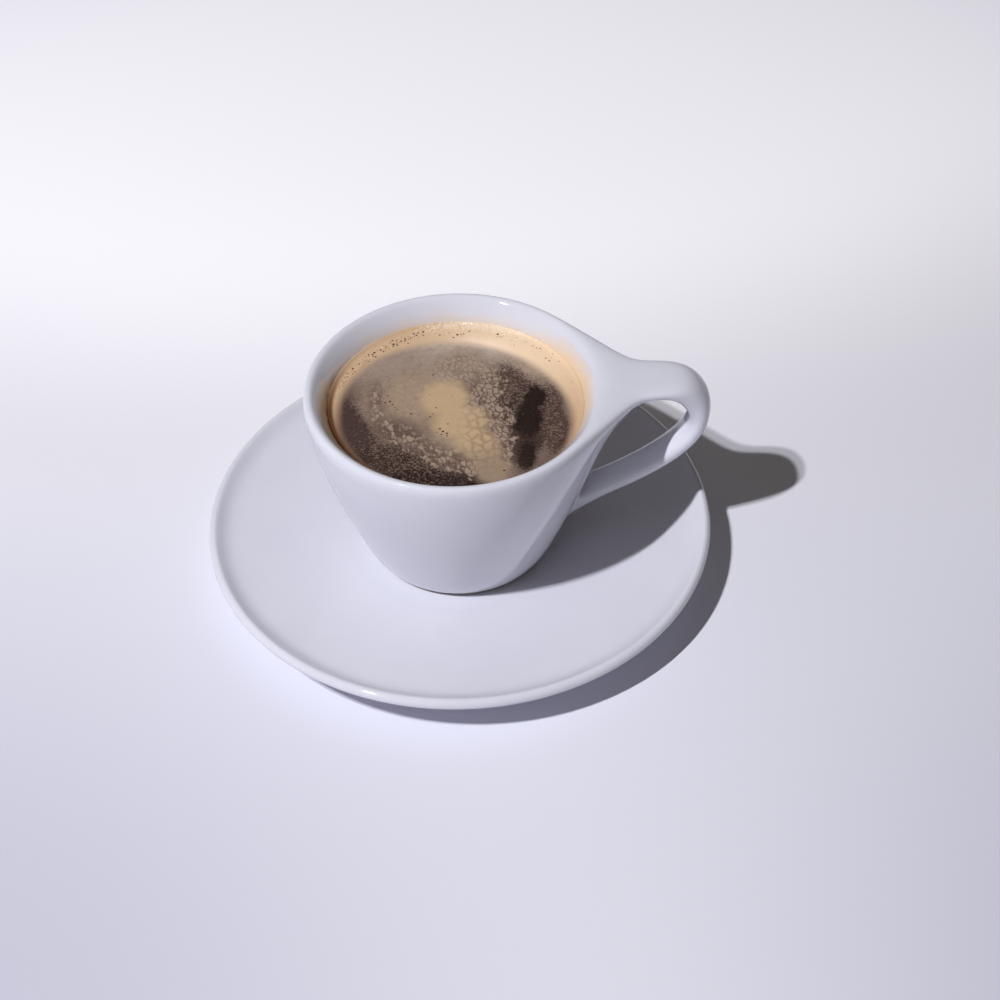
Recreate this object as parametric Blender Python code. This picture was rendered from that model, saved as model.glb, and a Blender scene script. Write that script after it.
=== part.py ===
# A cup of americano on its saucer: a thick porcelain cup whose rim runs out into a flat handle, a round
# saucer with a sunken well, the coffee in the cup and the thin crema on it.
# Metres, +Z up. The origin is the middle of the saucer's foot, on the table; the handle points along +X.

import math

import bmesh
import bpy
from mathutils import Vector

mm = 0.001

# Driving dimensions of the cup
rim_height = 66.0 * mm
rim_radius = 43.6 * mm
drink_depth = 6.7 * mm
crema_thickness = 1.2 * mm

# What the drink keeps clear of the cup and of its own crema
gap = 0.4 * mm
wall_clearance = 0.35 * mm

# Driving dimensions of the handle
web_angle = math.radians(43)
web_reach_limit = 8.9 * mm
web_edge = 1.8 * mm
web_underside_reach = 8.5 * mm
web_fillet_power = 1.3
root_pad_height = 1.4 * mm
root_pad_border = 0.8 * mm
corner_pull = 0.25

# Driving dimensions of the saucer
saucer_radius = 76.0 * mm
saucer_lip_height = 15.2 * mm
saucer_lip_size = 1.7 * mm
well_radius = 32.5 * mm
well_height = 7.0 * mm
well_step = 0.5 * mm
bowl_curve = 1.45
bowl_steps = 6
lip_steps = 6
foot_ring_radius = 45.0 * mm
foot_ring_width = 3.4 * mm
foot_ring_bevel = 0.5 * mm
underside_height = 2.6 * mm
underside_fillet = (9.0 * mm, 2.2 * mm)

# Fineness of the turned shapes
cup_columns = 36
saucer_columns = 64
sharp_angle = math.radians(50)

# Catmull-Clark smoothing draws a ring of this many corners a little inwards, so the cage is made larger.
cup_swell = 3 / (2 + math.cos(2 * math.pi / cup_columns))

porcelain_color = (0.80, 0.80, 0.83)
coffee_color = (0.05, 0.025, 0.015)
crema_color = (0.55, 0.38, 0.20)


def clear_scene():
    for obj in list(bpy.data.objects):
        bpy.data.objects.remove(obj, do_unlink=True)


def make_material(name, color, roughness, coat=0.0):
    material = bpy.data.materials.new(name)
    material.use_nodes = True
    shader = material.node_tree.nodes["Principled BSDF"]
    shader.inputs["Base Color"].default_value = (*color, 1.0)
    shader.inputs["Roughness"].default_value = roughness
    shader.inputs["Metallic"].default_value = 0.0
    shader.inputs["Coat Weight"].default_value = coat
    material.diffuse_color = (*color, 1.0)
    return material


def finish_object(name, bm, material, levels=0):
    bmesh.ops.recalc_face_normals(bm, faces=bm.faces)
    mesh = bpy.data.meshes.new(name)
    bm.to_mesh(mesh)
    bm.free()
    mesh.shade_smooth()
    mesh.set_sharp_from_angle(angle=sharp_angle)
    mesh.materials.append(material)
    obj = bpy.data.objects.new(name, mesh)
    bpy.context.scene.collection.objects.link(obj)
    if levels:
        smoothing = obj.modifiers.new("Smoothing", "SUBSURF")
        smoothing.levels = levels
        smoothing.render_levels = levels
    return obj


def turned_rings(bm, profile, columns, swell=1.0, reach=None):
    """One ring of corners for each (radius, height) of the profile, with quads between the rings.

    reach gives how much further out a corner lies, from its row and its angle."""
    rings = []
    for row, (radius, height) in enumerate(profile):
        ring = []
        for column in range(columns):
            angle = 2 * math.pi * column / columns
            distance = (radius + (reach(row, angle) if reach else 0.0)) * swell
            ring.append(bm.verts.new((distance * math.cos(angle), distance * math.sin(angle), height)))
        rings.append(ring)
    faces = {}
    for row, (lower, upper) in enumerate(zip(rings, rings[1:])):
        for column in range(columns):
            following = (column + 1) % columns
            corners = (lower[column], lower[following], upper[following], upper[column])
            faces[row, column] = bm.faces.new(corners)
    return rings, faces


def close_with_fan(bm, ring, height):
    """A flat end: triangles from the ring to a corner on the axis."""
    centre = bm.verts.new((0, 0, height))
    for column, corner in enumerate(ring):
        bm.faces.new((corner, ring[(column + 1) % len(ring)], centre))


# The cup's wall

# Radii and depths below the rim in millimetres, in the order in which the wall is run through: inside
# floor and wall, lip, outside wall, foot. They are the corners of a cage that is smoothed later.
inner_profile = [
    (10.0, 51.6),
    (22.5, 50.6),
    (28.8, 43.5),
    (33.0, 31.0),
    (35.6, 18.0),
    (35.9, 8.6),
    (37.8, 4.3),
    (40.0, 1.5),
]
lip_profile = [
    (41.6, -0.35),
    (43.4, -0.25),
    (44.0, 1.8),
    (43.8, 4.5),
]
outer_profile = [
    (43.4, 8.5),
    (42.6, 13.5),
    (41.2, 19.5),
    (39.2, 26.5),
    (36.4, 35.0),
    (33.5, 43.0),
    (32.2, 46.4),
    (31.0, 49.6),
    (29.5, 53.2),
    (28.0, 56.2),
]
foot_profile = [
    (26.6, 58.3),
    (24.4, 59.1),
    (20.0, 57.0),
]
cup_profile = [
    (radius * mm, rim_height - depth * mm)
    for radius, depth in inner_profile + lip_profile + outer_profile + foot_profile
]
crest_row = len(inner_profile)

# The rows of the cage between which the band leaves the rim, and those where it comes back to the wall
arm_rows = (crest_row + 1, crest_row + 2, crest_row + 3)
pad_bottom_row = crest_row + len(lip_profile) + len(outer_profile) - 2
root_rows = (pad_bottom_row - 3, pad_bottom_row - 2, pad_bottom_row - 1)


def web_outline(angle):
    """How far the rim's outline stands out past its circle: two tangents that run towards the handle."""
    turn = abs(math.remainder(angle, 2 * math.pi))
    if turn >= web_angle:
        return 0.0
    return min(rim_radius / math.cos(web_angle - turn) - rim_radius, web_reach_limit)


def web_share(depth):
    """The share of that reach left at a depth: whole at the rim's edge, then a wide fillet to the wall."""
    if depth <= web_edge:
        return 1.0
    return math.exp(-(((depth - web_edge) / web_underside_reach) ** web_fillet_power))


def web_reach(row, angle):
    """The web moves the outer wall only: the rows past the lip's crest."""
    if row <= crest_row:
        return 0.0
    return web_outline(angle) * web_share(rim_height - cup_profile[row][1])


# The handle's band

# Stations of the band, from the rim outwards and back down to the wall. Each has the middle of the band's
# outer face and of its inner face in side view, as millimetres from the axis and below the rim, then the
# band's half width there and how round its outer face is. Its inner face is round all the way.
band_stations = [
    ((57.0, 0.0), (56.0, 4.6), 8.2, 0.0),
    ((62.4, 0.0), (60.6, 5.2), 8.0, 0.0),
    ((68.6, 0.2), (64.5, 8.4), 7.4, 0.4),
    ((73.8, 4.6), (66.7, 12.5), 6.8, 0.9),
    ((75.1, 11.8), (67.9, 15.4), 6.4, 1.0),
    ((73.8, 19.6), (66.9, 19.4), 6.1, 1.0),
    ((69.0, 27.6), (63.0, 23.8), 5.6, 1.0),
    ((60.8, 34.8), (56.5, 29.0), 5.2, 1.0),
    ((51.2, 40.6), (47.9, 34.2), 5.1, 1.0),
    ((42.4, 44.6), (40.4, 38.2), 5.3, 1.0),
]


def band_loop(bm, outer, inner, half_width, outer_roundness):
    """Eight corners round the band: along its outer face, down one side, along its inner face and back."""
    outer = Vector((outer[0] * mm, rim_height - outer[1] * mm))
    inner = Vector((inner[0] * mm, rim_height - inner[1] * mm))
    middle = (outer + inner) / 2
    outer_pull = corner_pull * outer_roundness
    outer_corner = outer.lerp(middle, outer_pull)
    inner_corner = inner.lerp(middle, corner_pull)
    side_width = half_width * mm
    outer_width = side_width * (1 - outer_pull)
    inner_width = side_width * (1 - corner_pull)
    places = [
        (outer_corner, -outer_width),
        (outer, 0.0),
        (outer_corner, outer_width),
        (middle, side_width),
        (inner_corner, inner_width),
        (inner, 0.0),
        (inner_corner, -inner_width),
        (middle, -side_width),
    ]
    return [bm.verts.new((place.x, across, place.y)) for place, across in places]


def opening_loop(edges, from_top):
    """The corners round an opening in band_loop's order: from its outer corner at the lowest y."""
    corners = {corner for edge in edges for corner in edge.verts}
    outer_height = (max if from_top else min)(corner.co.z for corner in corners)
    half_row = 1 * mm
    outer_corners = [corner for corner in corners if abs(corner.co.z - outer_height) < half_row]
    start = min(outer_corners, key=lambda corner: corner.co.y)
    neighbours = [edge.other_vert(start) for edge in edges if start in edge.verts]
    loop = [start, min(neighbours, key=lambda corner: abs(corner.co.y))]
    while len(loop) < len(corners):
        onwards = [edge.other_vert(loop[-1]) for edge in edges if loop[-1] in edge.verts]
        loop.append(next(corner for corner in onwards if corner not in loop))
    return loop


def raise_root_pad(bm, faces, handle_columns):
    """Raises the pad that runs down the wall between the two ends of the band."""
    pad_rows = range(arm_rows[2], pad_bottom_row)
    pad_faces = [faces[row, column] for row in pad_rows for column in handle_columns]
    bmesh.ops.inset_region(
        bm,
        faces=pad_faces,
        use_outset=True,
        use_even_offset=True,
        thickness=root_pad_border,
    )
    for corner in {corner for face in pad_faces for corner in face.verts}:
        radius = corner.co.xy.length
        corner.co.xy *= (radius + root_pad_height) / radius


def make_cup(material):
    bm = bmesh.new()
    rings, faces = turned_rings(bm, cup_profile, cup_columns, cup_swell, web_reach)
    close_with_fan(bm, rings[0], cup_profile[0][1])
    close_with_fan(bm, rings[-1], cup_profile[-1][1])

    # Where the handle leaves the rim, the top stays level out to the band.
    for column in (-1, 0, 1):
        rings[arm_rows[0]][column].co.z = rim_height

    # The two columns of faces on either side of +X carry the handle.
    handle_columns = (0, cup_columns - 1)
    raise_root_pad(bm, faces, handle_columns)

    # The band is a chain of eight-cornered loops between two openings in the wall.
    open_rows = (*arm_rows[:2], *root_rows[:2])
    opened = [faces[row, column] for row in open_rows for column in handle_columns]
    bmesh.ops.delete(bm, geom=opened, context="FACES")
    open_edges = [edge for edge in bm.edges if edge.is_boundary]
    top_edges = [edge for edge in open_edges if edge.verts[0].co.z > rim_height / 2]
    root_edges = [edge for edge in open_edges if edge not in top_edges]
    loops = [opening_loop(top_edges, from_top=True)]
    loops += [band_loop(bm, *station) for station in band_stations]
    loops.append(opening_loop(root_edges, from_top=False))
    for first, second in zip(loops, loops[1:]):
        for corner in range(len(first)):
            following = (corner + 1) % len(first)
            bm.faces.new((first[corner], first[following], second[following], second[corner]))
    return finish_object("cup", bm, material, levels=1)


# The drink

def smoothed_inner_profile():
    """Where the smoothed wall passes each corner of the inner profile, as (radius, height)."""
    floor_height = cup_profile[0][1]
    corners = [(0.0, floor_height), *cup_profile[:len(inner_profile)]]
    smoothed = [(0.0, floor_height)]
    for before, corner, after in zip(corners, corners[1:], corners[2:]):
        smoothed.append(tuple((b + 4 * c + a) / 6 for b, c, a in zip(before, corner, after)))
    return smoothed


def inner_radius_at(height):
    """The inner wall's radius at a height, between the two places of its profile around it."""
    places = smoothed_inner_profile()
    for (low_radius, low), (high_radius, high) in zip(places, places[1:]):
        if low <= height <= high:
            share = (height - low) / (high - low)
            return low_radius + share * (high_radius - low_radius)
    return places[-1][0]


def make_coffee(material):
    """The drink below the crema, one solid down to the cup's floor."""
    bevel = 0.5 * mm
    shortest_row = 3 * mm
    top = rim_height - drink_depth - crema_thickness - gap
    profile = [
        (radius - wall_clearance, height + gap)
        for radius, height in smoothed_inner_profile()[1:]
        if height + gap < top - shortest_row
    ]
    edge_radius = inner_radius_at(top) - wall_clearance
    profile += [(edge_radius, top - bevel), (edge_radius - bevel, top)]
    bm = bmesh.new()
    rings, _ = turned_rings(bm, profile, cup_columns)
    close_with_fan(bm, rings[0], profile[0][1])
    close_with_fan(bm, rings[-1], top)
    return finish_object("coffee", bm, material)


def make_crema(material):
    """A thin skin on the coffee, a little thicker along the wall, where the foam gathers."""
    bevel = 0.5 * mm
    edge_drop = 0.2 * mm
    foam_ring = (3.0 * mm, 6.0 * mm)
    foam_height = 0.3 * mm
    surface = rim_height - drink_depth
    underside = surface - crema_thickness
    lower_radius = inner_radius_at(underside) - wall_clearance
    upper_radius = inner_radius_at(surface) - wall_clearance
    profile = [
        (lower_radius - bevel, underside),
        (lower_radius, underside + bevel),
        (upper_radius, surface - edge_drop),
        (upper_radius - bevel, surface),
        (upper_radius - foam_ring[0], surface),
        (upper_radius - foam_ring[1], surface - foam_height),
    ]
    bm = bmesh.new()
    rings, _ = turned_rings(bm, profile, cup_columns)
    close_with_fan(bm, rings[0], underside)
    close_with_fan(bm, rings[-1], surface - foam_height)
    return finish_object("crema", bm, material)


# The saucer

def arc(centre, size, start, end, steps):
    """Points along a round stretch of a turned profile, from one angle in degrees to another."""
    angles = [math.radians(start + (end - start) * step / steps) for step in range(steps + 1)]
    return [(centre[0] + size * math.cos(angle), centre[1] + size * math.sin(angle)) for angle in angles]


def bowl_points():
    """The bowl rises on a shallow curve from the well's step to just short of the lip."""
    start = Vector((well_radius + well_step, well_height + well_step))
    end = Vector((saucer_radius - 3 * saucer_lip_size, saucer_lip_height - 1.5 * saucer_lip_size))
    shares = [step / bowl_steps for step in range(bowl_steps + 1)]
    return [
        (start.x + share * (end.x - start.x), start.y + share ** bowl_curve * (end.y - start.y))
        for share in shares
    ]


def underside_points():
    """From the rim back to the foot ring, round the ring and into the hollow inside it."""
    outside = foot_ring_radius + foot_ring_width / 2
    inside = foot_ring_radius - foot_ring_width / 2
    return [
        (outside + underside_fillet[0], underside_height + underside_fillet[1]),
        (outside + 2 * foot_ring_bevel, underside_height),
        (outside, foot_ring_bevel),
        (outside - foot_ring_bevel, 0.0),
        (inside + foot_ring_bevel, 0.0),
        (inside, foot_ring_bevel),
        (inside - 2 * foot_ring_bevel, underside_height),
    ]


def make_saucer(material):
    lip_centre = (saucer_radius - saucer_lip_size, saucer_lip_height - saucer_lip_size)
    lip = arc(lip_centre, saucer_lip_size, 110, -60, lip_steps)
    profile = [(well_radius, well_height), *bowl_points(), *lip, *underside_points()]
    bm = bmesh.new()
    rings, _ = turned_rings(bm, profile, saucer_columns)
    close_with_fan(bm, rings[0], well_height)
    close_with_fan(bm, rings[-1], underside_height)
    return finish_object("saucer", bm, material)


def build():
    clear_scene()
    make_saucer(make_material("saucer_porcelain", porcelain_color, 0.12, coat=0.5))
    make_cup(make_material("cup_porcelain", porcelain_color, 0.12, coat=0.5))
    make_coffee(make_material("coffee", coffee_color, 0.1))
    make_crema(make_material("crema", crema_color, 0.35))


build()
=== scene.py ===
# A cup of americano on its saucer: porcelain, coffee and crema, on a pale table in studio light
import math
import random

import bmesh
import bpy
from mathutils import Matrix, Vector


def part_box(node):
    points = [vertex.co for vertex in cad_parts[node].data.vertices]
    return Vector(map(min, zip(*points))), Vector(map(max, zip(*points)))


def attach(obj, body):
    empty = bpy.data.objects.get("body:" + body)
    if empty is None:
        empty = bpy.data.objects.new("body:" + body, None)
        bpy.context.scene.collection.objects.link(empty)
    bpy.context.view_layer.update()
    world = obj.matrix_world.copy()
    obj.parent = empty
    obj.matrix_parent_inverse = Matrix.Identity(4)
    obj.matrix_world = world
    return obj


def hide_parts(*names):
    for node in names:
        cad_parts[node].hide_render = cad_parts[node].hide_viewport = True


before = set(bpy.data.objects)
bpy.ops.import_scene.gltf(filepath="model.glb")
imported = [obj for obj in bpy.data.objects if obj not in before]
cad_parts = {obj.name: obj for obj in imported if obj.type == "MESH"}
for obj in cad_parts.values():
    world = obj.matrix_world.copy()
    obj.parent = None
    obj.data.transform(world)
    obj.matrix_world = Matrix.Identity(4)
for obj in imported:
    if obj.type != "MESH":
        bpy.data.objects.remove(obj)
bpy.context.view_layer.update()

mm = 0.001
bpy.context.scene.view_settings.view_transform = "Standard"

# Places that the frame gives, and the height that the cup's profile counts down from
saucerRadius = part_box("saucer")[1].x
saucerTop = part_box("saucer")[1].z
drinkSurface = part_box("crema")[1].z
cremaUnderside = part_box("crema")[0].z
rimHeight = 66.0 * mm


# Small helpers for shaping in edit mode

def beginShape():
    bpy.ops.object.mode_set(mode="EDIT")
    return bmesh.from_edit_mesh(bpy.context.object.data)


def pick(shape, corners):
    for part in (*shape.faces, *shape.edges, *shape.verts):
        part.select = False
    for corner in corners:
        corner.select = True
    shape.select_flush(True)


def pickFaces(shape, faces):
    pick(shape, [])
    for face in faces:
        face.select_set(True)


def picked(shape):
    return [corner for corner in shape.verts if corner.select]


def roundTheAxis(corner):
    return round(math.degrees(math.atan2(corner.co.y, corner.co.x))) % 360


def widen(factor, height):
    bpy.ops.transform.resize(value=(factor, factor, 1), center_override=(0, 0, height))


def nextRing(shape, ring, radius, height):
    # extrude a ring of corners and bring it to its new radius and height
    oldRadius = ring[0].co.xy.length
    oldHeight = ring[0].co.z
    pick(shape, ring)
    bpy.ops.mesh.extrude_region_move()
    bpy.ops.transform.translate(value=(0, 0, height - oldHeight))
    widen(radius / oldRadius, height)
    return sorted(picked(shape), key=roundTheAxis)


def turnShape(name, profile, columns, swell=1.0):
    # profile: (radius, height) in metres from the first end's middle to the last end's middle
    bpy.ops.object.select_all(action="DESELECT")
    radius, height = profile[0]
    bpy.ops.mesh.primitive_circle_add(
        vertices=columns, radius=radius * swell, fill_type="TRIFAN", location=(0, 0, height))
    bpy.context.object.name = name
    bpy.ops.object.transform_apply(location=True, rotation=True, scale=True)
    shape = beginShape()
    rings = [sorted([c for c in shape.verts if c.co.xy.length > radius / 2], key=roundTheAxis)]
    for radius, height in profile[1:]:
        rings.append(nextRing(shape, rings[-1], radius * swell, height))
    bpy.ops.mesh.edge_face_add()
    bpy.ops.mesh.poke()
    return shape, rings


def endShape(material, levels, sharpAngle=None):
    bpy.ops.mesh.select_all(action="SELECT")
    bpy.ops.mesh.normals_make_consistent(inside=False)
    bpy.ops.object.mode_set(mode="OBJECT")
    piece = bpy.context.object
    if levels:
        smoothing = piece.modifiers.new("Smoothing", "SUBSURF")
        smoothing.levels = levels
        smoothing.render_levels = levels
        bpy.ops.object.modifier_apply(modifier=smoothing.name)
    if sharpAngle:
        bpy.ops.object.shade_smooth_by_angle(angle=math.radians(sharpAngle))
    else:
        bpy.ops.object.shade_smooth()
    piece.data.materials.append(material)
    return piece


def standFor(piece, node):
    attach(piece, "root")
    if node:
        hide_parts(node)


# Small helpers for materials

def feed(tree, socket, value):
    if isinstance(value, bpy.types.NodeSocket):
        tree.links.new(value, socket)
    elif value is not None:
        socket.default_value = value


def newMaterial(name):
    material = bpy.data.materials.new(name)
    material.use_nodes = True
    tree = material.node_tree
    return material, tree, tree.nodes["Principled BSDF"]


def linear(red, green, blue):
    # a colour seen as 0 to 255 values, as the shader wants it
    parts = [value / 255 for value in (red, green, blue)]
    return (*[p / 12.92 if p <= 0.04045 else ((p + 0.055) / 1.055) ** 2.4 for p in parts], 1.0)


def placeNode(tree, stretch=(1, 1, 1), turn=0.0):
    # object coordinates in millimetres, drawn out and turned
    place = tree.nodes.new("ShaderNodeTexCoord")
    mapping = tree.nodes.new("ShaderNodeMapping")
    mapping.vector_type = "TEXTURE"
    mapping.inputs["Rotation"].default_value = (0, 0, math.radians(turn))
    mapping.inputs["Scale"].default_value = [value * mm for value in stretch]
    tree.links.new(place.outputs["Object"], mapping.inputs["Vector"])
    return mapping.outputs["Vector"]


def calc(tree, operation, a, b=None, c=None, clamp=False):
    node = tree.nodes.new("ShaderNodeMath")
    node.operation = operation
    node.use_clamp = clamp
    for socket, value in zip(node.inputs, (a, b, c)):
        feed(tree, socket, value)
    return node.outputs[0]


def times(tree, a, b, clamp=False):
    return calc(tree, "MULTIPLY", a, b, clamp=clamp)


def larger(tree, a, b):
    return calc(tree, "MAXIMUM", a, b)


def spread(tree, value, low, high, first=0.0, last=1.0):
    node = tree.nodes.new("ShaderNodeMapRange")
    node.interpolation_type = "SMOOTHSTEP"
    for socket, entry in zip(node.inputs, (value, low, high, first, last)):
        feed(tree, socket, entry)
    return node.outputs[0]


def cloud(tree, vector, scale, detail=3.0, rough=0.5, output="Fac"):
    node = tree.nodes.new("ShaderNodeTexNoise")
    feed(tree, node.inputs["Vector"], vector)
    node.inputs["Scale"].default_value = scale
    node.inputs["Detail"].default_value = detail
    node.inputs["Roughness"].default_value = rough
    return node.outputs[output]


def cells(tree, vector, scale, feature="F1", output="Distance"):
    node = tree.nodes.new("ShaderNodeTexVoronoi")
    node.voronoi_dimensions = "2D"
    node.feature = feature
    feed(tree, node.inputs["Vector"], vector)
    node.inputs["Scale"].default_value = scale
    return node.outputs[output]


def blend(tree, share, first, second):
    node = tree.nodes.new("ShaderNodeMix")
    node.data_type = "RGBA"
    feed(tree, node.inputs[0], share)
    feed(tree, node.inputs[6], first)
    feed(tree, node.inputs[7], second)
    return node.outputs[2]


def between(tree, share, tones):
    return blend(tree, share, linear(*tones[0]), linear(*tones[1]))


def paint(tree, share, color, tone):
    # lay a tone over a colour, as far as the share says
    return blend(tree, share, color, linear(*tone))


def patch(tree, place, middle, size, turn=0.0, soft=0.4):
    # 1 inside an oval of that half size in mm, falling softly to 0 outside it
    oval = tree.nodes.new("ShaderNodeMapping")
    oval.vector_type = "TEXTURE"
    oval.inputs["Location"].default_value = (*middle, 0)
    oval.inputs["Rotation"].default_value = (0, 0, math.radians(turn))
    oval.inputs["Scale"].default_value = (*size, 1)
    tree.links.new(place, oval.inputs["Vector"])
    length = tree.nodes.new("ShaderNodeVectorMath")
    length.operation = "LENGTH"
    tree.links.new(oval.outputs[0], length.inputs[0])
    return spread(tree, length.outputs["Value"], 1 + soft, 1 - soft)


def shift(tree, vector, by, amount):
    # push a place about by a coloured cloud, for edges that wander
    centred = tree.nodes.new("ShaderNodeVectorMath")
    centred.operation = "MULTIPLY_ADD"
    feed(tree, centred.inputs[0], by)
    centred.inputs[1].default_value = (amount, amount, 0)
    centred.inputs[2].default_value = (-amount / 2, -amount / 2, 0)
    total = tree.nodes.new("ShaderNodeVectorMath")
    total.operation = "ADD"
    feed(tree, total.inputs[0], vector)
    feed(tree, total.inputs[1], centred.outputs[0])
    return total.outputs[0]


def bump(tree, shader, height, distance):
    node = tree.nodes.new("ShaderNodeBump")
    node.inputs["Distance"].default_value = distance
    feed(tree, node.inputs["Height"], height)
    tree.links.new(node.outputs["Normal"], shader.inputs["Normal"])


def flatten(tree, vector):
    flat = tree.nodes.new("ShaderNodeVectorMath")
    flat.operation = "MULTIPLY"
    feed(tree, flat.inputs[0], vector)
    flat.inputs[1].default_value = (1, 1, 0)
    return flat.outputs[0]


def heightAbove(tree, level):
    # the object height above a level, in metres
    place = tree.nodes.new("ShaderNodeTexCoord")
    parts = tree.nodes.new("ShaderNodeSeparateXYZ")
    tree.links.new(place.outputs["Object"], parts.inputs[0])
    return calc(tree, "SUBTRACT", parts.outputs["Z"], level)


# Porcelain

porcelain = {
    "glaze": [(226, 226, 235), (219, 219, 230)],
    "glazeCloud": (0.05, 2.0),  # how fine per mm, and how detailed
    "glazeRoughness": 0.035,
    "streakCloud": (0.12, 3.0),
    "streakRoughness": 0.03,
    "glazeIndex": 1.52,
    "ripple": 0.05 * mm,
    "rippleCloud": (0.12, 1.0),
    "clay": [(214, 208, 198), (196, 190, 180)],
    "clayGrain": (3.0, 4.0),
    "clayRoughness": 0.8,
    "clayHeights": (0.9 * mm, 0.5 * mm),  # above the foot: all glaze, all clay
    # places are soft ovals round the axis in mm and degrees: middle, half size, turn and softness
    "handleSide": ((38, 4), (16, 22), 0, 0.8),
    "farSide": ((-37, -10), (12, 22), 0, 0.7),
    "insideCup": ((0, 0), (40, 40), 0, 0.01),
    # a tan film of foam on the wall above the drink; opposite the handle it also stands for a painted
    # reflection of the crema
    "film": (236, 206, 170),
    "filmAndReflectionHeight": 4.2 * mm,
    "filmAndReflectionCloud": (0.15, 2.0),
    "filmAndReflectionShares": (0.42, 1.05, 1.6),  # all round, by the handle, opposite it
    # brown stain opposite the handle: coffee residue with a painted reflection of the dark coffee on the
    # wall; on the crema's edge it is painted shadow of the rim
    "stainShadowAndReflection": (112, 68, 34),
    "stainShadowAndReflectionHeight": 3.0 * mm,
    "stainShadowAndReflectionCloud": (0.3, 2.0),
    "stainShadowAndReflectionShare": 1.3,
}


def makePorcelain(name, footHeight):
    # white glaze with a faint cloud in it, and bare clay where the piece stands
    material, tree, shader = newMaterial(name)
    place = placeNode(tree)
    glaze = between(tree, cloud(tree, place, *porcelain["glazeCloud"]), porcelain["glaze"])
    clay = between(tree, cloud(tree, place, *porcelain["clayGrain"]), porcelain["clay"])
    bare = spread(tree, heightAbove(tree, footHeight), *porcelain["clayHeights"])
    color = blend(tree, bare, glaze, clay)
    feed(tree, shader.inputs["Base Color"], color)
    streaks = cloud(tree, place, *porcelain["streakCloud"])
    streaks = spread(tree, streaks, 0.35, 0.7, 0.0, porcelain["streakRoughness"])
    glossy = calc(tree, "ADD", streaks, porcelain["glazeRoughness"])
    matt = times(tree, bare, porcelain["clayRoughness"])
    feed(tree, shader.inputs["Roughness"], larger(tree, glossy, matt))
    shader.inputs["IOR"].default_value = porcelain["glazeIndex"]
    bump(tree, shader, cloud(tree, place, *porcelain["rippleCloud"]), porcelain["ripple"])
    return material, tree, shader, color


def addFilmAndPaintedReflection(tree, shader, color):
    # a tan film of foam that the drink leaves on the wall just above it, most of it by the handle
    # and opposite it; opposite the handle it is also a painted reflection of the crema in the glaze
    place = flatten(tree, placeNode(tree))
    handleSide = patch(tree, place, *porcelain["handleSide"])
    farSide = patch(tree, place, *porcelain["farSide"])
    level = heightAbove(tree, drinkSurface)
    inside = times(tree, patch(tree, place, *porcelain["insideCup"]), spread(tree, level, -4 * mm, -2 * mm))
    wander = spread(tree, cloud(tree, place, *porcelain["filmAndReflectionCloud"]), 0.3, 0.7, 0.75, 1.15)
    wander = times(tree, wander, spread(tree, larger(tree, handleSide, farSide), 0.0, 1.0, 1.0, 0.55))
    film = times(tree, spread(tree, times(tree, level, wander), porcelain["filmAndReflectionHeight"], 0.0), inside)
    around, byHandle, opposite = porcelain["filmAndReflectionShares"]
    share = larger(tree, times(tree, farSide, opposite), spread(tree, handleSide, 0.0, 1.0, around, byHandle))
    # the film of foam, and opposite the handle a painted reflection of the crema
    color = paint(tree, times(tree, film, share, clamp=True), color, porcelain["film"])
    # opposite the handle, brown streaks: coffee that has run down and stained the wall, with a painted
    # reflection of the dark coffee in the glaze
    runs = spread(tree, cloud(tree, place, *porcelain["stainShadowAndReflectionCloud"]), 0.35, 0.65, 0.4, 1.0)
    low = times(tree, spread(tree, level, porcelain["stainShadowAndReflectionHeight"], 0.2 * mm), inside)
    stainShadowAndReflection = times(tree, times(tree, times(tree, low, farSide), runs), porcelain["stainShadowAndReflectionShare"], clamp=True)
    feed(tree, shader.inputs["Base Color"], paint(tree, stainShadowAndReflection, color, porcelain["stainShadowAndReflection"]))


# Cup

cup = {
    # radii and depths below the rim in mm: inside floor and wall, lip, outside wall, foot
    "inside": [(10.0, 51.6), (22.5, 50.6), (28.8, 43.5), (33.0, 31.0), (35.6, 18.0), (35.9, 8.6),
               (37.8, 4.3), (40.0, 1.5)],
    "lip": [(41.6, -0.35), (43.4, -0.25), (44.0, 1.8), (43.8, 4.5)],
    "outside": [(43.4, 8.5), (42.6, 13.5), (41.2, 19.5), (39.2, 26.5), (36.4, 35.0), (33.5, 43.0),
                (32.2, 46.4), (31.0, 49.6), (29.5, 53.2), (28.0, 56.2)],
    "foot": [(26.6, 58.3), (24.4, 59.1), (20.0, 57.0)],
    "columns": 36,
    "fineness": 3,
    "rimRadius": 43.6 * mm,
    "webAngle": 43,
    "webReach": 8.9 * mm,
    "webEdge": 1.8 * mm,
    "webFillet": 8.5 * mm,
    "padHeight": 1.4 * mm,
    "padBorder": 0.8 * mm,
    "footDepth": 58.7 * mm,
}
cupProfile = [(radius * mm, rimHeight - depth * mm)
              for part in ("inside", "lip", "outside", "foot") for radius, depth in cup[part]]
crestRow = len(cup["inside"])
armRow = crestRow + 1  # the band leaves between this row and two rows further on
padEndRow = crestRow + len(cup["lip"]) + len(cup["outside"]) - 2
rootRow = padEndRow - 3  # and comes back between this row and two rows further on

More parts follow.
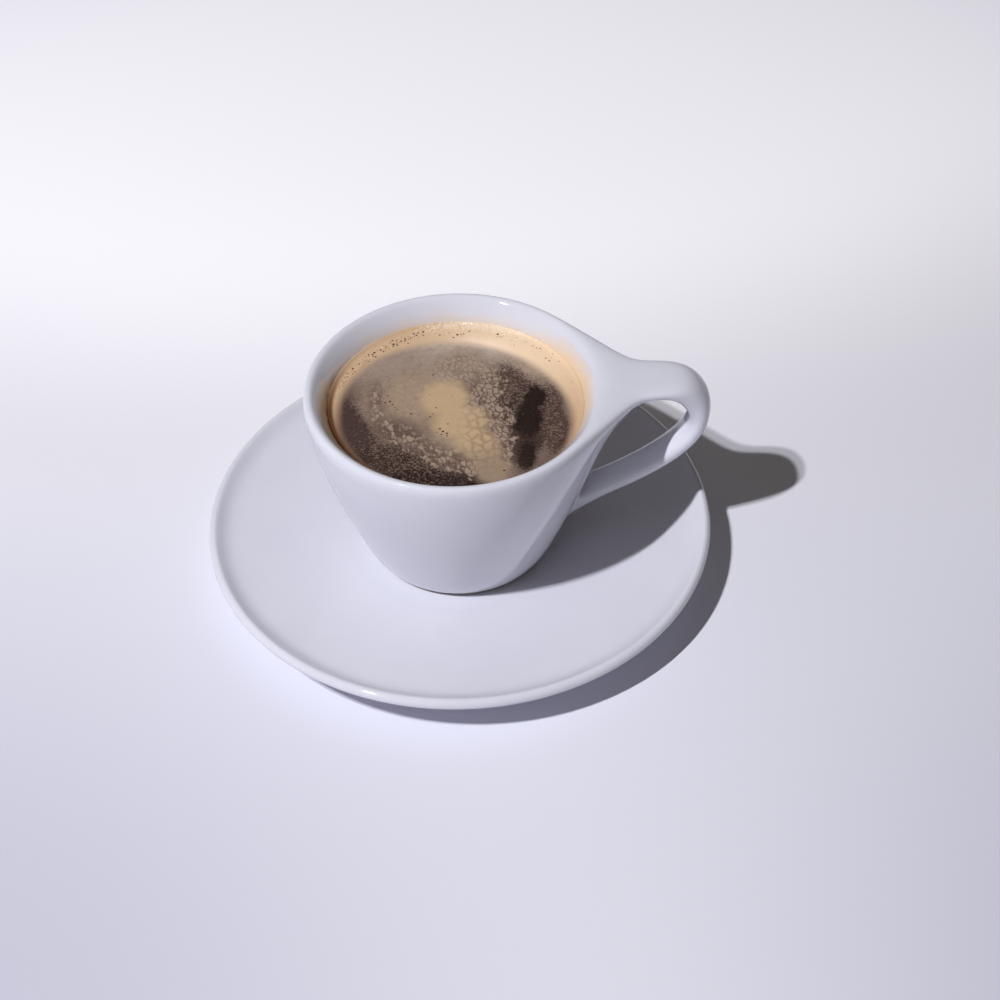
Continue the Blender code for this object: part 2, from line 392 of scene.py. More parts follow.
# Stations of the handle's band: (outer face, inner face) as (mm from the axis, mm below the rim),
# half width in mm, and how round the outer face is
bandStations = [
    ((57.0, 0.0), (56.0, 4.6), 8.2, 0.0),
    ((62.4, 0.0), (60.6, 5.2), 8.0, 0.0),
    ((68.6, 0.2), (64.5, 8.4), 7.4, 0.4),
    ((73.8, 4.6), (66.7, 12.5), 6.8, 0.9),
    ((75.1, 11.8), (67.9, 15.4), 6.4, 1.0),
    ((73.8, 19.6), (66.9, 19.4), 6.1, 1.0),
    ((69.0, 27.6), (63.0, 23.8), 5.6, 1.0),
    ((60.8, 34.8), (56.5, 29.0), 5.2, 1.0),
    ((51.2, 40.6), (47.9, 34.2), 5.1, 1.0),
    ((42.4, 44.6), (40.4, 38.2), 5.3, 1.0),
]
cornerPull = 0.25


def handleFaces(rings, firstRow, lastRow):
    # the two columns of faces on either side of +X, between two rows
    faces = []
    for row in range(firstRow, lastRow):
        for column in (-1, 0):
            corners = {rings[row + up][column + over] for up in (0, 1) for over in (0, 1)}
            faces += [face for face in rings[row][column].link_faces if corners == set(face.verts)]
    return faces


def drawOutWeb(shape, rings):
    # the rim's outline leaves its circle on two tangents that run towards the handle
    step = 360 / cup["columns"]
    for row in range(crestRow + 1, len(rings)):
        depth = rimHeight - rings[row][0].co.z
        past = max(0.0, depth - cup["webEdge"]) / cup["webFillet"]
        share = math.exp(-(past ** 1.3))
        for column in range(int(cup["webAngle"] / step) + 1):
            left = math.radians(cup["webAngle"] - column * step)
            reach = min(cup["rimRadius"] / math.cos(left) - cup["rimRadius"], cup["webReach"]) * share
            pick(shape, {rings[row][column], rings[row][-column]})
            widen((cupProfile[row][0] + reach) / cupProfile[row][0], 0)
    for column in (-1, 0, 1):
        pick(shape, [rings[armRow][column]])
        bpy.ops.transform.translate(value=(0, 0, rimHeight - rings[armRow][column].co.z))


def raisePad(shape, faces):
    pickFaces(shape, faces)
    bpy.ops.mesh.inset(thickness=cup["padBorder"], use_outset=True, use_even_offset=True)
    for corner in {corner for face in faces for corner in face.verts}:
        pick(shape, [corner])
        radius = corner.co.xy.length
        widen((radius + cup["padHeight"]) / radius, 0)


def openingLoop(edges, outermost):
    # the corners round an opening in the band's order, from the outer face's first corner
    corners = {corner for edge in edges for corner in edge.verts}
    level = outermost(corner.co.z for corner in corners)
    outer = [corner for corner in corners if abs(corner.co.z - level) < 1 * mm]
    start = min(outer, key=lambda corner: corner.co.y)
    beside = [edge.other_vert(start) for edge in edges if start in edge.verts]
    loop = [start, min(beside, key=lambda corner: abs(corner.co.y))]
    while len(loop) < len(corners):
        onwards = [edge.other_vert(loop[-1]) for edge in edges if loop[-1] in edge.verts]
        loop.append(next(corner for corner in onwards if corner not in loop))
    return loop


def bandPlaces(outer, inner, halfWidth, roundness):
    outer = Vector((outer[0] * mm, 0, rimHeight - outer[1] * mm))
    inner = Vector((inner[0] * mm, 0, rimHeight - inner[1] * mm))
    middle = (outer + inner) / 2
    pull = cornerPull * roundness
    outerCorner = outer.lerp(middle, pull)
    innerCorner = inner.lerp(middle, cornerPull)
    aside = Vector((0, halfWidth * mm, 0))
    return [outerCorner - aside * (1 - pull), outer, outerCorner + aside * (1 - pull), middle + aside,
            innerCorner + aside * (1 - cornerPull), inner, innerCorner - aside * (1 - cornerPull),
            middle - aside]


def drawBand(shape, loop, root):
    # extrude the opening's edge from station to station, then join it to the lower opening
    for station in bandStations:
        places = bandPlaces(*station)
        before = [corner.co.copy() for corner in loop]
        pick(shape, loop)
        bpy.ops.mesh.extrude_region_move()
        grown = picked(shape)
        loop = [min(grown, key=lambda corner: (corner.co - start).length) for start in before]
        for corner, place in zip(loop, places):
            pick(shape, [corner])
            bpy.ops.transform.translate(value=place - corner.co)
    pick(shape, loop + root)
    bpy.ops.mesh.bridge_edge_loops()


def makeCup():
    # smoothing draws a ring of corners inwards, so the rings start that much too wide
    swell = 3 / (2 + math.cos(2 * math.pi / cup["columns"]))
    shape, rings = turnShape("cupBody", cupProfile, cup["columns"], swell)
    openings = handleFaces(rings, armRow, armRow + 2) + handleFaces(rings, rootRow, rootRow + 2)
    drawOutWeb(shape, rings)
    raisePad(shape, handleFaces(rings, armRow + 2, padEndRow))
    pickFaces(shape, openings)
    bpy.ops.mesh.delete(type="FACE")
    edges = [edge for edge in shape.edges if edge.is_boundary]
    top = [edge for edge in edges if edge.verts[0].co.z > rimHeight / 2]
    low = [edge for edge in edges if edge not in top]
    drawBand(shape, openingLoop(top, max), openingLoop(low, min))
    material, tree, shader, color = makePorcelain("cupGlaze", rimHeight - cup["footDepth"])
    addFilmAndPaintedReflection(tree, shader, color)
    standFor(endShape(material, cup["fineness"]), "cup")


makeCup()
print("cup done")


# Saucer

saucer = {
    "columns": 96,
    "fineness": 1,
    "lipSize": 1.7 * mm,
    "lipArc": (110, -60, 8),  # first and last angle, and steps
    "wellRadius": 32.5 * mm,
    "wellHeight": 7.0 * mm,
    "wellStep": 0.5 * mm,
    "bowlCurve": 1.45,
    "bowlSteps": 10,
    "bowlEnd": (3, 1.5),  # lip sizes in from the edge and down from the top
    "footRadius": 45.0 * mm,
    "footWidth": 3.4 * mm,
    "footBevel": 0.5 * mm,
    "underside": 2.6 * mm,
    "underCurve": (9.0 * mm, 2.2 * mm),  # outwards from the foot and up
}


def arcPlaces(radius, height, size, first, last, steps):
    angles = [math.radians(first + (last - first) * step / steps) for step in range(steps + 1)]
    return [(radius + size * math.cos(angle), height + size * math.sin(angle)) for angle in angles]


def makeSaucer():
    lip = saucer["lipSize"]
    well = saucer["wellRadius"]
    start = Vector((well + saucer["wellStep"], saucer["wellHeight"] + saucer["wellStep"]))
    end = Vector((saucerRadius - saucer["bowlEnd"][0] * lip, saucerTop - saucer["bowlEnd"][1] * lip))
    shares = [step / saucer["bowlSteps"] for step in range(saucer["bowlSteps"] + 1)]
    bowl = [(start.x + share * (end.x - start.x), start.y + share ** saucer["bowlCurve"] * (end.y - start.y))
            for share in shares]
    edge = arcPlaces(saucerRadius - lip, saucerTop - lip, lip, *saucer["lipArc"])
    outside = saucer["footRadius"] + saucer["footWidth"] / 2
    inside = saucer["footRadius"] - saucer["footWidth"] / 2
    bevel = saucer["footBevel"]
    under = saucer["underside"]
    out, up = saucer["underCurve"]
    foot = [(outside + out, under + up), (outside + 2 * bevel, under), (outside, bevel),
            (outside - bevel, 0.0), (inside + bevel, 0.0), (inside, bevel), (inside - 2 * bevel, under)]
    profile = [(well * 0.5, saucer["wellHeight"]), (well, saucer["wellHeight"]), *bowl, *edge, *foot]
    turnShape("saucerBody", profile, saucer["columns"])
    material = makePorcelain("saucerGlaze", 0.0)[0]
    standFor(endShape(material, saucer["fineness"]), "saucer")


makeSaucer()
print("saucer done")


# Coffee and crema

drink = {
    "columns": 72,
    "intoWall": 0.35 * mm,
    "meniscus": 0.9 * mm,
    "coffeeTones": [(40, 24, 18), (54, 32, 22)],
    "coffeeCloud": (0.2, 3.0),
    "coffeeRoughness": 0.06,
    "coffeeIndex": 1.34,
    "coffeeEdge": 40,  # degrees past which its edge stays sharp
    "belowCrema": 0.1 * mm,
}


def innerWall():
    # where the smoothed inside wall passes each corner of its profile
    corners = [(0.0, cupProfile[0][1]), *cupProfile[:crestRow]]
    return [tuple((b + 4 * c + a) / 6 for b, c, a in zip(*three))
            for three in zip(corners, corners[1:], corners[2:])]


def wallRadius(height):
    wall = innerWall()
    for (lowRadius, low), (highRadius, high) in zip(wall, wall[1:]):
        if low <= height <= high:
            return lowRadius + (height - low) / (high - low) * (highRadius - lowRadius)
    return wall[-1][0]


def makeCoffee():
    into = drink["intoWall"]
    top = cremaUnderside - drink["belowCrema"]
    profile = [(radius + into, height - into) for radius, height in innerWall() if height < top - 3 * mm]
    profile.append((wallRadius(top) + into, top))
    turnShape("coffeeBody", profile, drink["columns"])
    material, tree, shader = newMaterial("coffeeLiquid")
    clouds = cloud(tree, placeNode(tree), *drink["coffeeCloud"])
    feed(tree, shader.inputs["Base Color"], between(tree, clouds, drink["coffeeTones"]))
    shader.inputs["Roughness"].default_value = drink["coffeeRoughness"]
    shader.inputs["IOR"].default_value = drink["coffeeIndex"]
    standFor(endShape(material, 0, drink["coffeeEdge"]), "coffee")


makeCoffee()
print("coffee done")

crema = {
    # broad washes in the order they are laid: colour, then soft ovals in mm and degrees as
    # middle, half size, turn and softness
    "washes": [
        ((168, 145, 123), [((-13, 5), (11, 13), 15, 0.6), ((-4, 15), (9, 8), 0, 0.6),
                           ((-3, -13), (7, 7), 0, 0.6)]),
        ((142, 121, 106), [((-25, 3), (4.5, 12), 0, 0.6)]),
        ((114, 94, 84), [((-17, -13), (10, 6.5), -35, 0.6)]),
        ((192, 172, 156), [((3, 25), (22, 6.5), -8, 0.6)]),
        ((163, 143, 129), [((-17, 20), (12, 6), 25, 0.6)]),
        ((174, 151, 132), [((25, 16), (6, 8), 35, 0.6)]),
        ((175, 153, 135), [((4, 16), (8, 7), 0, 0.6)]),
    ],
    "shades": [
        ((78, 58, 51), [((16, 1), (6.5, 16), 0, 0.6), ((27.5, -8), (4, 15), 0, 0.6)]),
        ((78, 60, 56), [((-30, -9), (5, 18), 14, 0.8)]),
        ((62, 45, 40), [((-17, -25), (14, 6.5), -35, 0.7), ((20, -9), (6, 17), -8, 0.5)]),
        ((42, 26, 23), [((-4, -32), (17, 4.5), -6, 0.6)]),
    ],
    "ground": [(106, 86, 77), (128, 107, 96)],
    "border": (84, 65, 56),
    "dark": (30, 15, 10),
    "darkAreas": [((23.2, 1.5), (3.2, 5), -15, 0.6), ((20.3, -8), (3.8, 8), -8, 0.6),
                  ((18.8, -23.5), (2.6, 6), -12, 0.8)],
    # clouds: how fine per mm, how detailed and how rough; the first three push places about
    "wideCloud": (0.1, 3.0, 0.5),
    "widePush": 7.0,
    "nearCloud": (0.35, 4.0, 0.6),
    "nearPush": 3.5,
    "drawnCloud": (0.5, 2.0, 0.5),
    "drawnPush": 1.8,
    "drawnOut": (0.85, 1.2, 1.0),
    "drawnTurn": 14,
    "grain": (1.3, 4.0, 0.65),
    "shadeGrain": 1.4,
    "darkGrain": 1.3,
    "mottle": (0.45, 4.0, 0.6),
    "mottleShare": 0.3,
    "veins": 0.4,
    "veinShare": 0.2,
    "speckleShare": 0.5,
    # cells of foam: their colour and areas, and for each kind how fine per mm and how dense
    "cell": (170, 148, 130),
    "coarse": [((3, 17), (7, 7), 10, 0.6), ((8.5, 3), (5, 14), -14, 0.5), ((12, -14), (3.8, 12), -4, 0.6),
               ((4, -27), (7, 4), -10, 0.6)],
    "sparse": [((-17, -11), (4, 8), 40, 0.6), ((-6, -21), (9, 4), -30, 0.6), ((-23, 3), (2, 9), 0, 0.7)],
    "fine": [((15, 4), (7, 18), 0, 0.6), ((27, -5), (4, 17), 0, 0.6), ((-14, -21), (15, 10), -35, 0.7),
             ((-23, 5), (4, 13), 10, 0.8), ((16, 18), (10, 6), -35, 0.6)],
    "speckCells": (2.3, 0.5),
    "smallCells": (1.1, 0.75),
    "largeCells": (0.55, 0.95),
    "speckShare": 0.42,
    "smallShare": 0.7,
    "cellShare": 0.85,
    "sparseShare": 0.6,
    "veil": ((2, 19), (9, 7), 0, 0.6),
    "veilShares": (0.8, 0.55),
    # the tongue of foam and its veins
    "gold": [(190, 161, 126), (200, 172, 135)],
    "goldCloud": (0.25, 3.0),
    "goldAreas": [((-3, 3), (7, 8), 0, 0.35), ((1, -7), (8, 7), 0, 0.35), ((5, -17), (5.5, 9), 18, 0.4),
                  ((8.5, -28), (5, 7), 8, 0.4)],
    "goldEnd": (156, 134, 112),
    "goldEndPlace": ((9, -32), (12, 12), 0, 0.6),
    "goldVein": (138, 112, 90),
    "goldVeins": 0.3,
    "goldVeinPlace": ((7.5, -13), (6, 17), -8, 0.7),
    "goldVeinShare": 0.55,
    # the ring along the wall, with painted light at the back right and painted shadow at the lower left
    "inner": ((-0.6, -5.3), (35, 32.3), -45, 0.06),
    # its two tones: the lighter one is painted light where the ring faces the lamps at the back right
    "ring": [(210, 177, 143), (246, 217, 182)],
    "paintedLight": ((24, 27), (22, 22), 0, 0.8),
    # painted shadow of the rim: the ring darker at the lower left
    "ringPaintedShadow": (138, 112, 92),
    "low": ((-30, -24), (20, 20), 0, 0.5),
    # pale froth at the back of the ring, partly painted glints where the lamps mirror in the wet foam
    "frothAndGlints": (252, 238, 220),
    "frothAndGlintsPlace": ((9, 34), (17, 6), -12, 0.6),
    "frothAndGlintsInside": ((0, 0), (34.3, 34.3), 0, 0.04),
    "frothAndGlintsCells": (1.7, 0.9),
    "frothAndGlintsShare": 0.6,
    # the crema's outer edge opposite the handle takes the stain colour: stain, with painted shadow of the rim
    "stainShadowAndReflectionInside": ((0, 0), (35.7, 35.7), 0, 0.012),
    # gloss and relief
    "wetCloud": (0.8, 3.0),
    "roughness": (0.14, 0.28),
    "innerGloss": 0.45,
    "wetPlace": ((14.5, 33), (8, 4.5), -24, 0.5),
    "wetGloss": 0.4,
    "index": 1.36,
    "pits": 1.8,
    "pitsInside": ((0, 0), (34.3, 34.3), 0, 0.03),
    "cellRelief": 0.4,
    "relief": 0.12 * mm,
}


def area(tree, place, ovals):
    # the strongest of several soft ovals
    share = 0.0
    for oval in ovals:
        share = larger(tree, patch(tree, place, *oval), share)
    return share


def outsideOf(tree, place, oval):
    return calc(tree, "SUBTRACT", 1.0, patch(tree, place, *oval))


def cellBorders(tree, place, fineness, width):
    return spread(tree, cells(tree, place, fineness, "DISTANCE_TO_EDGE"), width, 0.0)


def cellLayer(tree, place, where, fineness, density):
    # cells with clear borders, of which a share as large as the density shows
    chance = tree.nodes.new("ShaderNodeSeparateColor")
    tree.links.new(cells(tree, place, fineness, "F1", "Color"), chance.inputs[0])
    left = calc(tree, "SUBTRACT", times(tree, where, density), chance.outputs[0])
    inside = spread(tree, cells(tree, place, fineness, "DISTANCE_TO_EDGE"), 0.03, 0.2)
    return times(tree, inside, spread(tree, left, -0.05, 0.2))


def grainy(tree, share, grain, amount):
    # the same share with its edge eaten away by the grain
    uneven = calc(tree, "MULTIPLY_ADD", calc(tree, "SUBTRACT", grain, 0.5), amount, share)
    return spread(tree, uneven, 0.25, 0.75)


def layGround(tree, near, wide, grain):
    # the broad tones below, the darker ones with a grainy edge
    mottle = times(tree, spread(tree, cloud(tree, near, *crema["mottle"]), 0.45, 0.75), crema["mottleShare"])
    veins = times(tree, cellBorders(tree, near, crema["veins"], 0.1), crema["veinShare"])
    color = between(tree, grain, crema["ground"])
    for tone, ovals in crema["washes"]:
        color = paint(tree, area(tree, wide, ovals), color, tone)
    color = paint(tree, larger(tree, mottle, veins), color, crema["border"])
    for tone, ovals in crema["shades"]:
        color = paint(tree, grainy(tree, area(tree, wide, ovals), grain, crema["shadeGrain"]), color, tone)
    shadeOvals = [oval for tone, ovals in crema["shades"] for oval in ovals]
    speckle = times(tree, spread(tree, grain, 0.46, 0.66), crema["speckleShare"])
    return paint(tree, times(tree, speckle, area(tree, wide, shadeOvals)), color, crema["dark"])


def layCells(tree, place, near, wide, drawn, color):
    # cells of foam that thin out away from the middle, large ones over small ones
    specks = cellLayer(tree, place, area(tree, wide, crema["fine"]), *crema["speckCells"])
    color = paint(tree, times(tree, specks, crema["speckShare"]), color, crema["cell"])
    sparse = times(tree, area(tree, near, crema["sparse"]), crema["sparseShare"])
    where = larger(tree, area(tree, near, crema["coarse"]), sparse)
    veiled = spread(tree, patch(tree, place, *crema["veil"]), 0.0, 1.0, *crema["veilShares"])
    color = paint(tree, times(tree, where, veiled), color, crema["border"])
    large = cellLayer(tree, drawn, where, *crema["largeCells"])
    small = cellLayer(tree, drawn, where, *crema["smallCells"])
    foam = larger(tree, large, times(tree, small, crema["smallShare"]))
    return paint(tree, times(tree, foam, crema["cellShare"]), color, crema["cell"]), foam


def layMiddle(tree, place, near, grain, color):
    # open coffee at the right, and the whole tongue of foam in the middle
    dark = grainy(tree, area(tree, near, crema["darkAreas"]), grain, crema["darkGrain"])
    dark = times(tree, dark, spread(tree, grain, 0.5, 0.75, 1.0, 0.7))
    color = paint(tree, dark, color, crema["dark"])
    tongue = between(tree, cloud(tree, place, *crema["goldCloud"]), crema["gold"])
    tongue = paint(tree, patch(tree, place, *crema["goldEndPlace"]), tongue, crema["goldEnd"])
    veined = cellBorders(tree, near, crema["goldVeins"], 0.24)
    veined = times(tree, veined, patch(tree, near, *crema["goldVeinPlace"]))
    tongue = paint(tree, times(tree, veined, crema["goldVeinShare"]), tongue, crema["goldVein"])
    gold = area(tree, near, crema["goldAreas"])
    return blend(tree, gold, color, tongue), gold


def layRing(tree, place, color):
    # the ring along the wall: painted light at the back right, painted shadow at the lower left, pale froth
    # at the back that is partly painted glints, and opposite the handle a stained outer edge with painted
    # shadow of the rim
    inner = patch(tree, place, *crema["inner"])
    # painted light: the ring lighter towards the back right
    ring = between(tree, patch(tree, place, *crema["paintedLight"]), crema["ring"])
    # painted shadow of the rim on the ring's lower left
    ring = paint(tree, patch(tree, place, *crema["low"]), ring, crema["ringPaintedShadow"])
    color = blend(tree, inner, ring, color)
    # pale froth cells at the back, partly painted glints
    strip = outsideOf(tree, place, crema["frothAndGlintsInside"])
    strip = times(tree, strip, patch(tree, place, *crema["frothAndGlintsPlace"]))
    frothAndGlints = cellLayer(tree, place, strip, *crema["frothAndGlintsCells"])
    color = paint(tree, times(tree, frothAndGlints, crema["frothAndGlintsShare"]), color, crema["frothAndGlints"])
    # opposite the handle the outer edge is stained and darkened: painted shadow of the rim
    farSide = patch(tree, place, *porcelain["farSide"])
    stainShadowAndReflection = times(tree, outsideOf(tree, place, crema["stainShadowAndReflectionInside"]), farSide)
    return paint(tree, stainShadowAndReflection, color, porcelain["stainShadowAndReflection"]), inner


def makeCremaMaterial():
    material, tree, shader = newMaterial("cremaFoam")
    place = flatten(tree, placeNode(tree))

    def pushed(start, name):
        around = cloud(tree, place, *crema[name + "Cloud"], "Color")
        return shift(tree, start, around, crema[name + "Push"])

    wide = pushed(place, "wide")
    near = pushed(place, "near")
    drawn = pushed(flatten(tree, placeNode(tree, crema["drawnOut"], crema["drawnTurn"])), "drawn")
    grain = cloud(tree, place, *crema["grain"])
    color = layGround(tree, near, wide, grain)
    color, foam = layCells(tree, place, near, wide, drawn, color)
    color, gold = layMiddle(tree, place, near, grain, color)
    color, inner = layRing(tree, place, color)
    feed(tree, shader.inputs["Base Color"], color)
    wet = spread(tree, cloud(tree, place, *crema["wetCloud"]), 0.3, 0.7, *crema["roughness"])
    wet = times(tree, wet, spread(tree, inner, 0.0, 1.0, crema["innerGloss"], 1.0))
    shiny = spread(tree, patch(tree, place, *crema["wetPlace"]), 0.0, 1.0, 1.0, crema["wetGloss"])
    feed(tree, shader.inputs["Roughness"], times(tree, wet, shiny))
    shader.inputs["IOR"].default_value = crema["index"]
    pits = cells(tree, place, crema["pits"])
    pits = calc(tree, "SUBTRACT", times(tree, pits, patch(tree, place, *crema["pitsInside"])), pits)
    raised = calc(tree, "SUBTRACT", crema["cellRelief"], times(tree, gold, crema["cellRelief"]))
    bump(tree, shader, calc(tree, "ADD", times(tree, foam, raised), pits), crema["relief"])
    return material


def cremaProfile():
    # below, out into the wall, up the meniscus, and back over the slightly hollow top
    edge = wallRadius(drinkSurface)
    rise = drink["meniscus"]
    return [
        (wallRadius(cremaUnderside) - 4 * mm, cremaUnderside),
        (wallRadius(cremaUnderside) + drink["intoWall"], cremaUnderside),
        (edge + drink["intoWall"], drinkSurface + rise),
        (edge - 0.2 * mm, drinkSurface + rise * 0.9),
        (edge - 0.75 * mm, drinkSurface + rise * 0.2),
        (edge - 1.9 * mm, drinkSurface - 0.02 * mm),
        (edge - 5.0 * mm, drinkSurface - 0.15 * mm),
        (edge - 9.0 * mm, drinkSurface - 0.25 * mm),
        (edge * 0.4, drinkSurface - 0.28 * mm),
    ]


def makeCrema():
    turnShape("cremaSkin", cremaProfile(), drink["columns"])
    standFor(endShape(makeCremaMaterial(), 1), "crema")


bubbles = {
    # places in mm from the axis, and sizes across in mm
    "single": [(-20.4, 2.9, 0.7), (-19.0, 3.3, 0.9), (-18.3, 1.9, 0.7), (-17.1, -0.5, 0.6),
               (-17.6, 0.7, 0.5),
               (-5.2, -9.8, 0.8), (-4.4, -11.0, 0.9), (-3.3, -11.9, 0.8), (-3.3, -13.0, 0.6),
               (-4.9, -12.2, 0.6), (-6.2, -11.3, 0.5), (-13.1, -2.6, 0.7), (-5.8, -0.6, 0.6),
               (-7.7, -4.4, 0.7), (-6.8, -3.2, 0.5), (-2.8, -7.9, 0.6), (-5.9, 14.1, 0.6),
               (-19.5, 5.9, 0.5), (11.8, -28.9, 0.9), (-7.4, 5.3, 0.4), (5.3, -12.9, 0.5),
               (26.5, 23.1, 0.7), (30, 20, 0.6), (24.5, 24.5, 0.5), (31.5, 16.5, 0.5), (34.5, 7, 0.5),
               (-17, 28.9, 1.0), (-22.8, 25.5, 0.9), (-20.9, 26.6, 0.8), (-29.4, 18.7, 0.9),
               (-14.7, 30.2, 0.7),
               (-12.6, 29.1, 0.6), (2.3, 31.8, 0.9), (1.0, 30.6, 0.7), (-7.9, 32.3, 0.6), (4.2, 32.0, 0.6)],
    # arcs along the ring: first and last angle, nearest and furthest from the axis in mm, how many
    "open": [(118, 152, 32.6, 35.2, 96), (98, 122, 32.8, 35.0, 44), (82, 98, 31.2, 33.6, 10),
             (152, 164, 34.0, 35.2, 16), (30, 80, 31.0, 35.0, 14)],
    "whole": [(56, 70, 32.6, 35.5, 46), (70, 100, 33.4, 35.5, 40), (20, 56, 34.0, 35.5, 16),
              (100, 165, 34.4, 35.6, 30)],
    "openSizes": (0.3, 0.9),
    "wholeSizes": (0.4, 1.0),
    "fewLarge": 2.2,  # the higher, the fewer large ones
    "apart": 0.55,  # of the sum of two neighbours' sizes
    "openColors": [(64, 36, 21), (106, 67, 42)],
    "wholeColors": [(226, 194, 158), (244, 222, 194)],
    "cloud": (0.7, 2.0),
    "roughness": 0.08,
    "index": 1.34,
    "flatness": 0.55,
    "sunk": 0.12,
}


def cremaHeight(radius):
    # the crema's surface at a radius, between the two nearest corners of its profile
    tops = sorted(cremaProfile()[3:])
    for (nearRadius, near), (farRadius, far) in zip(tops, tops[1:]):
        if nearRadius <= radius <= farRadius:
            return near + (radius - nearRadius) / (farRadius - nearRadius) * (far - near)
    return tops[0][1]


def makeBubbleMaterial(name, tones):
    material, tree, shader = newMaterial(name)
    film = cloud(tree, placeNode(tree), *bubbles["cloud"])
    feed(tree, shader.inputs["Base Color"], between(tree, film, tones))
    shader.inputs["Roughness"].default_value = bubbles["roughness"]
    shader.inputs["IOR"].default_value = bubbles["index"]
    return material


def makeBubble(kind):
    # one low dome, a millimetre across, closed below
    bpy.ops.object.select_all(action="DESELECT")
    bpy.ops.mesh.primitive_uv_sphere_add(segments=8, ring_count=6, radius=0.5 * mm)
    beginShape()
    bpy.ops.mesh.select_all(action="SELECT")
    bpy.ops.mesh.bisect(plane_co=(0, 0, -0.05 * mm), plane_no=(0, 0, 1), clear_inner=True, use_fill=True)
    bpy.ops.mesh.select_all(action="SELECT")
    bpy.ops.transform.resize(value=(1, 1, bubbles["flatness"]), center_override=(0, 0, 0))
    return endShape(makeBubbleMaterial(kind + "Bubble", bubbles[kind + "Colors"]), 0)


def strewBubbles(kind, spots, draw):
    # spots along the ring that keep clear of each other
    small, large = bubbles[kind + "Sizes"]
    found = []
    for first, last, nearest, furthest, count in bubbles[kind]:
        for turn in range(count):
            angle = math.radians(draw.uniform(first, last))
            radius = draw.uniform(nearest, furthest)
            size = small + (large - small) * draw.random() ** bubbles["fewLarge"]
            spot = (radius * math.cos(angle), radius * math.sin(angle), size)
            if all(math.dist(spot[:2], other[:2]) > bubbles["apart"] * (size + other[2])
                   for other in spots + found):
                found.append(spot)
    return found


def makeBubbles():
    draw = random.Random(11)
    openSpots = bubbles["single"] + strewBubbles("open", bubbles["single"], draw)
    wholeSpots = strewBubbles("whole", openSpots, draw)
    domes = []
    for kind, spots in (("open", openSpots), ("whole", wholeSpots)):
        dome = makeBubble(kind)
        for x, y, size in spots:
            copy = dome.copy()
            copy.data = dome.data.copy()
            bpy.context.collection.objects.link(copy)
            level = cremaHeight(math.hypot(x, y) * mm) - bubbles["sunk"] * size * mm
            copy.matrix_world = Matrix.Translation((x * mm, y * mm, level)) @ Matrix.Scale(size, 4)
            domes.append(copy)
        bpy.data.objects.remove(dome)
    bpy.ops.object.select_all(action="DESELECT")
    for copy in domes:
        copy.select_set(True)
    bpy.context.view_layer.objects.active = domes[0]
    bpy.ops.object.join()
    bpy.ops.object.transform_apply(location=True, rotation=True, scale=True)
    piece = bpy.context.object
    piece.name = "cremaBubbles"
    standFor(piece, None)


makeCrema()
print("crema done")
makeBubbles()
print("bubbles done")


# Table, light and camera, at the place that the view of the cup shows

stage = {
    "turn": -3.6,  # degrees between the handle and the picture's right
    "camera": (12.29, -468.13, 469.82),
    "right": (0.9999, -0.0111, -0.0116),
    "up": (0.0161, 0.6922, 0.7216),
    "back": (0.0, -0.7216, 0.6923),
    "lens": 77.4,
    "sensor": 36,
    "lamps": [(-691.1, -624.2, 1304.2), (-638.4, -568.5, 1304.2)],
    "lampSize": 0.035,
    "lampPower": 11.3,
    "lampColor": (0.97, 0.975, 1.02),
    "fill": 0.09,
    "fillColor": (1.0, 0.93, 0.84),
    "backLamps": [(0.055, 1.105, 1.02), (0.068, 1.11, 1.015)],
    "backLampSize": 0.004,
    "backLampPower": 0.02,
    "tableSize": 4,
    "table": [(236, 236, 246), (232, 232, 243)],
    "tableCloud": (0.004, 2.0),
    "tableRoughness": 0.7,
    # soft ovals in mm and degrees: middle, half size, turn and softness
    # painted light: a lighter colour at the back of the table
    "paintedLight": (254, 252, 255),
    "paintedLightPlace": ((0, 220), (300, 170), 0, 0.6),
    # painted shade: a darker colour at the table's front corners
    "paintedShade": (204, 204, 219),
    "paintedShadePlaces": [((-190, -190), (150, 150), 0, 0.6), ((250, -215), (150, 150), 0, 0.6)],
    # painted light: the back of the table glows faintly, though it is no lamp
    "paintedGlow": (244, 242, 255),
    "paintedGlowPlace": ((0, 270), (320, 170), 0, 0.5),
    "paintedGlowStrength": 0.2,
}
turned = Matrix.Rotation(math.radians(stage["turn"]), 3, "Z")


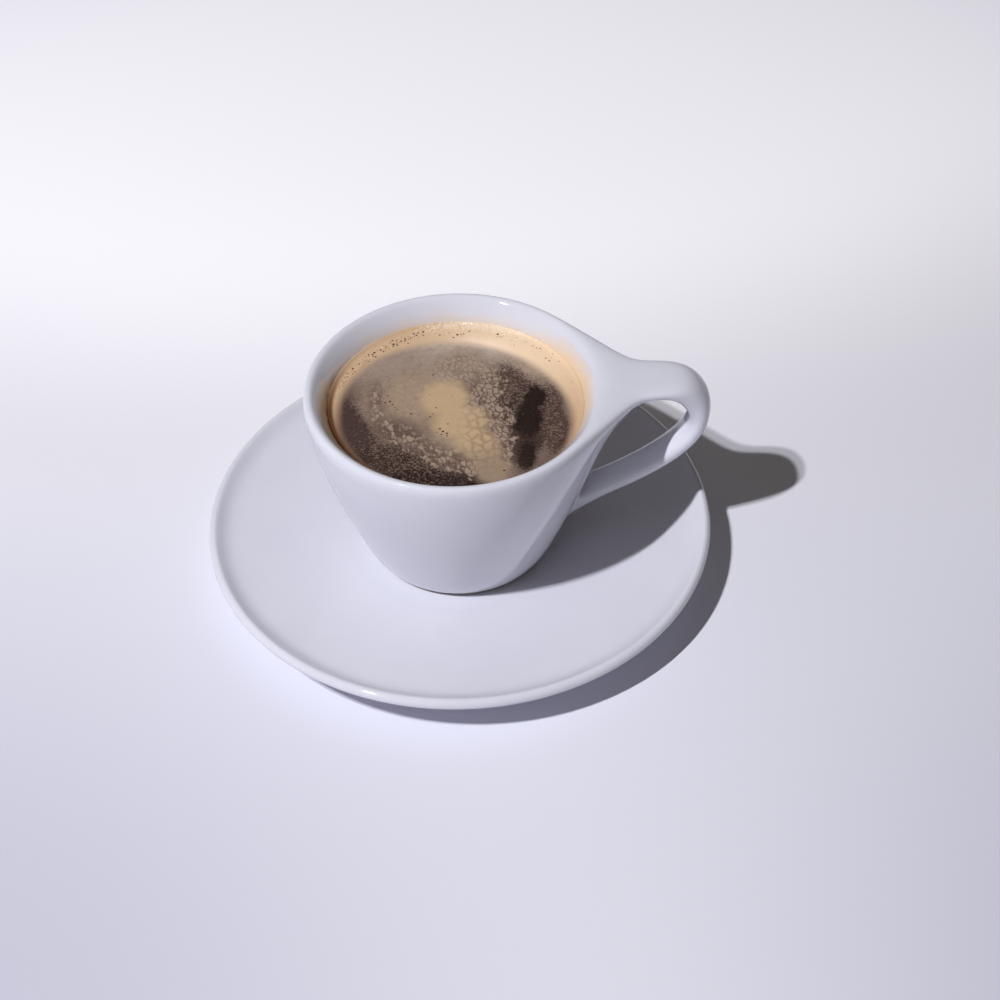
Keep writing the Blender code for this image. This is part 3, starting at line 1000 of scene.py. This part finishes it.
def makeTable():
    bpy.ops.object.select_all(action="DESELECT")
    bpy.ops.mesh.primitive_plane_add(size=stage["tableSize"])
    table = bpy.context.object
    table.name = "table"
    material, tree, shader = newMaterial("paleTable")
    place = placeNode(tree)
    color = between(tree, cloud(tree, place, *stage["tableCloud"]), stage["table"])
    # painted light at the back of the table
    color = paint(tree, patch(tree, place, *stage["paintedLightPlace"]), color, stage["paintedLight"])
    # painted shade at the table's front corners
    for oval in stage["paintedShadePlaces"]:
        color = paint(tree, patch(tree, place, *oval), color, stage["paintedShade"])
    feed(tree, shader.inputs["Base Color"], color)
    # painted light: a faint glow at the back of the table
    paintedGlow = spread(tree, patch(tree, place, *stage["paintedGlowPlace"]), 0.0, 1.0, 0.0, stage["paintedGlowStrength"])
    feed(tree, shader.inputs["Emission Strength"], paintedGlow)
    shader.inputs["Emission Color"].default_value = linear(*stage["paintedGlow"])
    shader.inputs["Roughness"].default_value = stage["tableRoughness"]
    table.data.materials.append(material)


def addLamp(name, spot, size, power):
    bpy.ops.object.light_add(type="AREA", location=spot)
    lamp = bpy.context.object
    lamp.name = name
    lamp.data.shape = "DISK"
    lamp.data.size = size
    lamp.data.energy = power
    lamp.data.color = stage["lampColor"]
    lamp.rotation_euler = Vector(spot).to_track_quat("Z", "Y").to_euler()


def makeLights():
    for count, place in enumerate(stage["lamps"]):
        spot = turned @ (Vector(place) * mm)
        addLamp(f"lamp{count + 1}", spot, stage["lampSize"], stage["lampPower"])
    for count, spot in enumerate(stage["backLamps"]):
        addLamp(f"backLamp{count + 1}", spot, stage["backLampSize"], stage["backLampPower"])
    world = bpy.data.worlds.new("studio")
    bpy.context.scene.world = world
    world.use_nodes = True
    world.node_tree.nodes["Background"].inputs["Color"].default_value = (*stage["fillColor"], 1.0)
    world.node_tree.nodes["Background"].inputs["Strength"].default_value = stage["fill"]


def makeCamera():
    bpy.ops.object.camera_add()
    camera = bpy.context.object
    axes = [Vector(stage[side]) for side in ("right", "up", "back")]
    facing = turned @ Matrix(axes).transposed()
    camera.matrix_world = Matrix.Translation(turned @ (Vector(stage["camera"]) * mm)) @ facing.to_4x4()
    camera.data.sensor_width = stage["sensor"]
    camera.data.lens = stage["lens"]
    bpy.context.scene.camera = camera


makeTable()
makeLights()
makeCamera()
print("table, light and camera done")
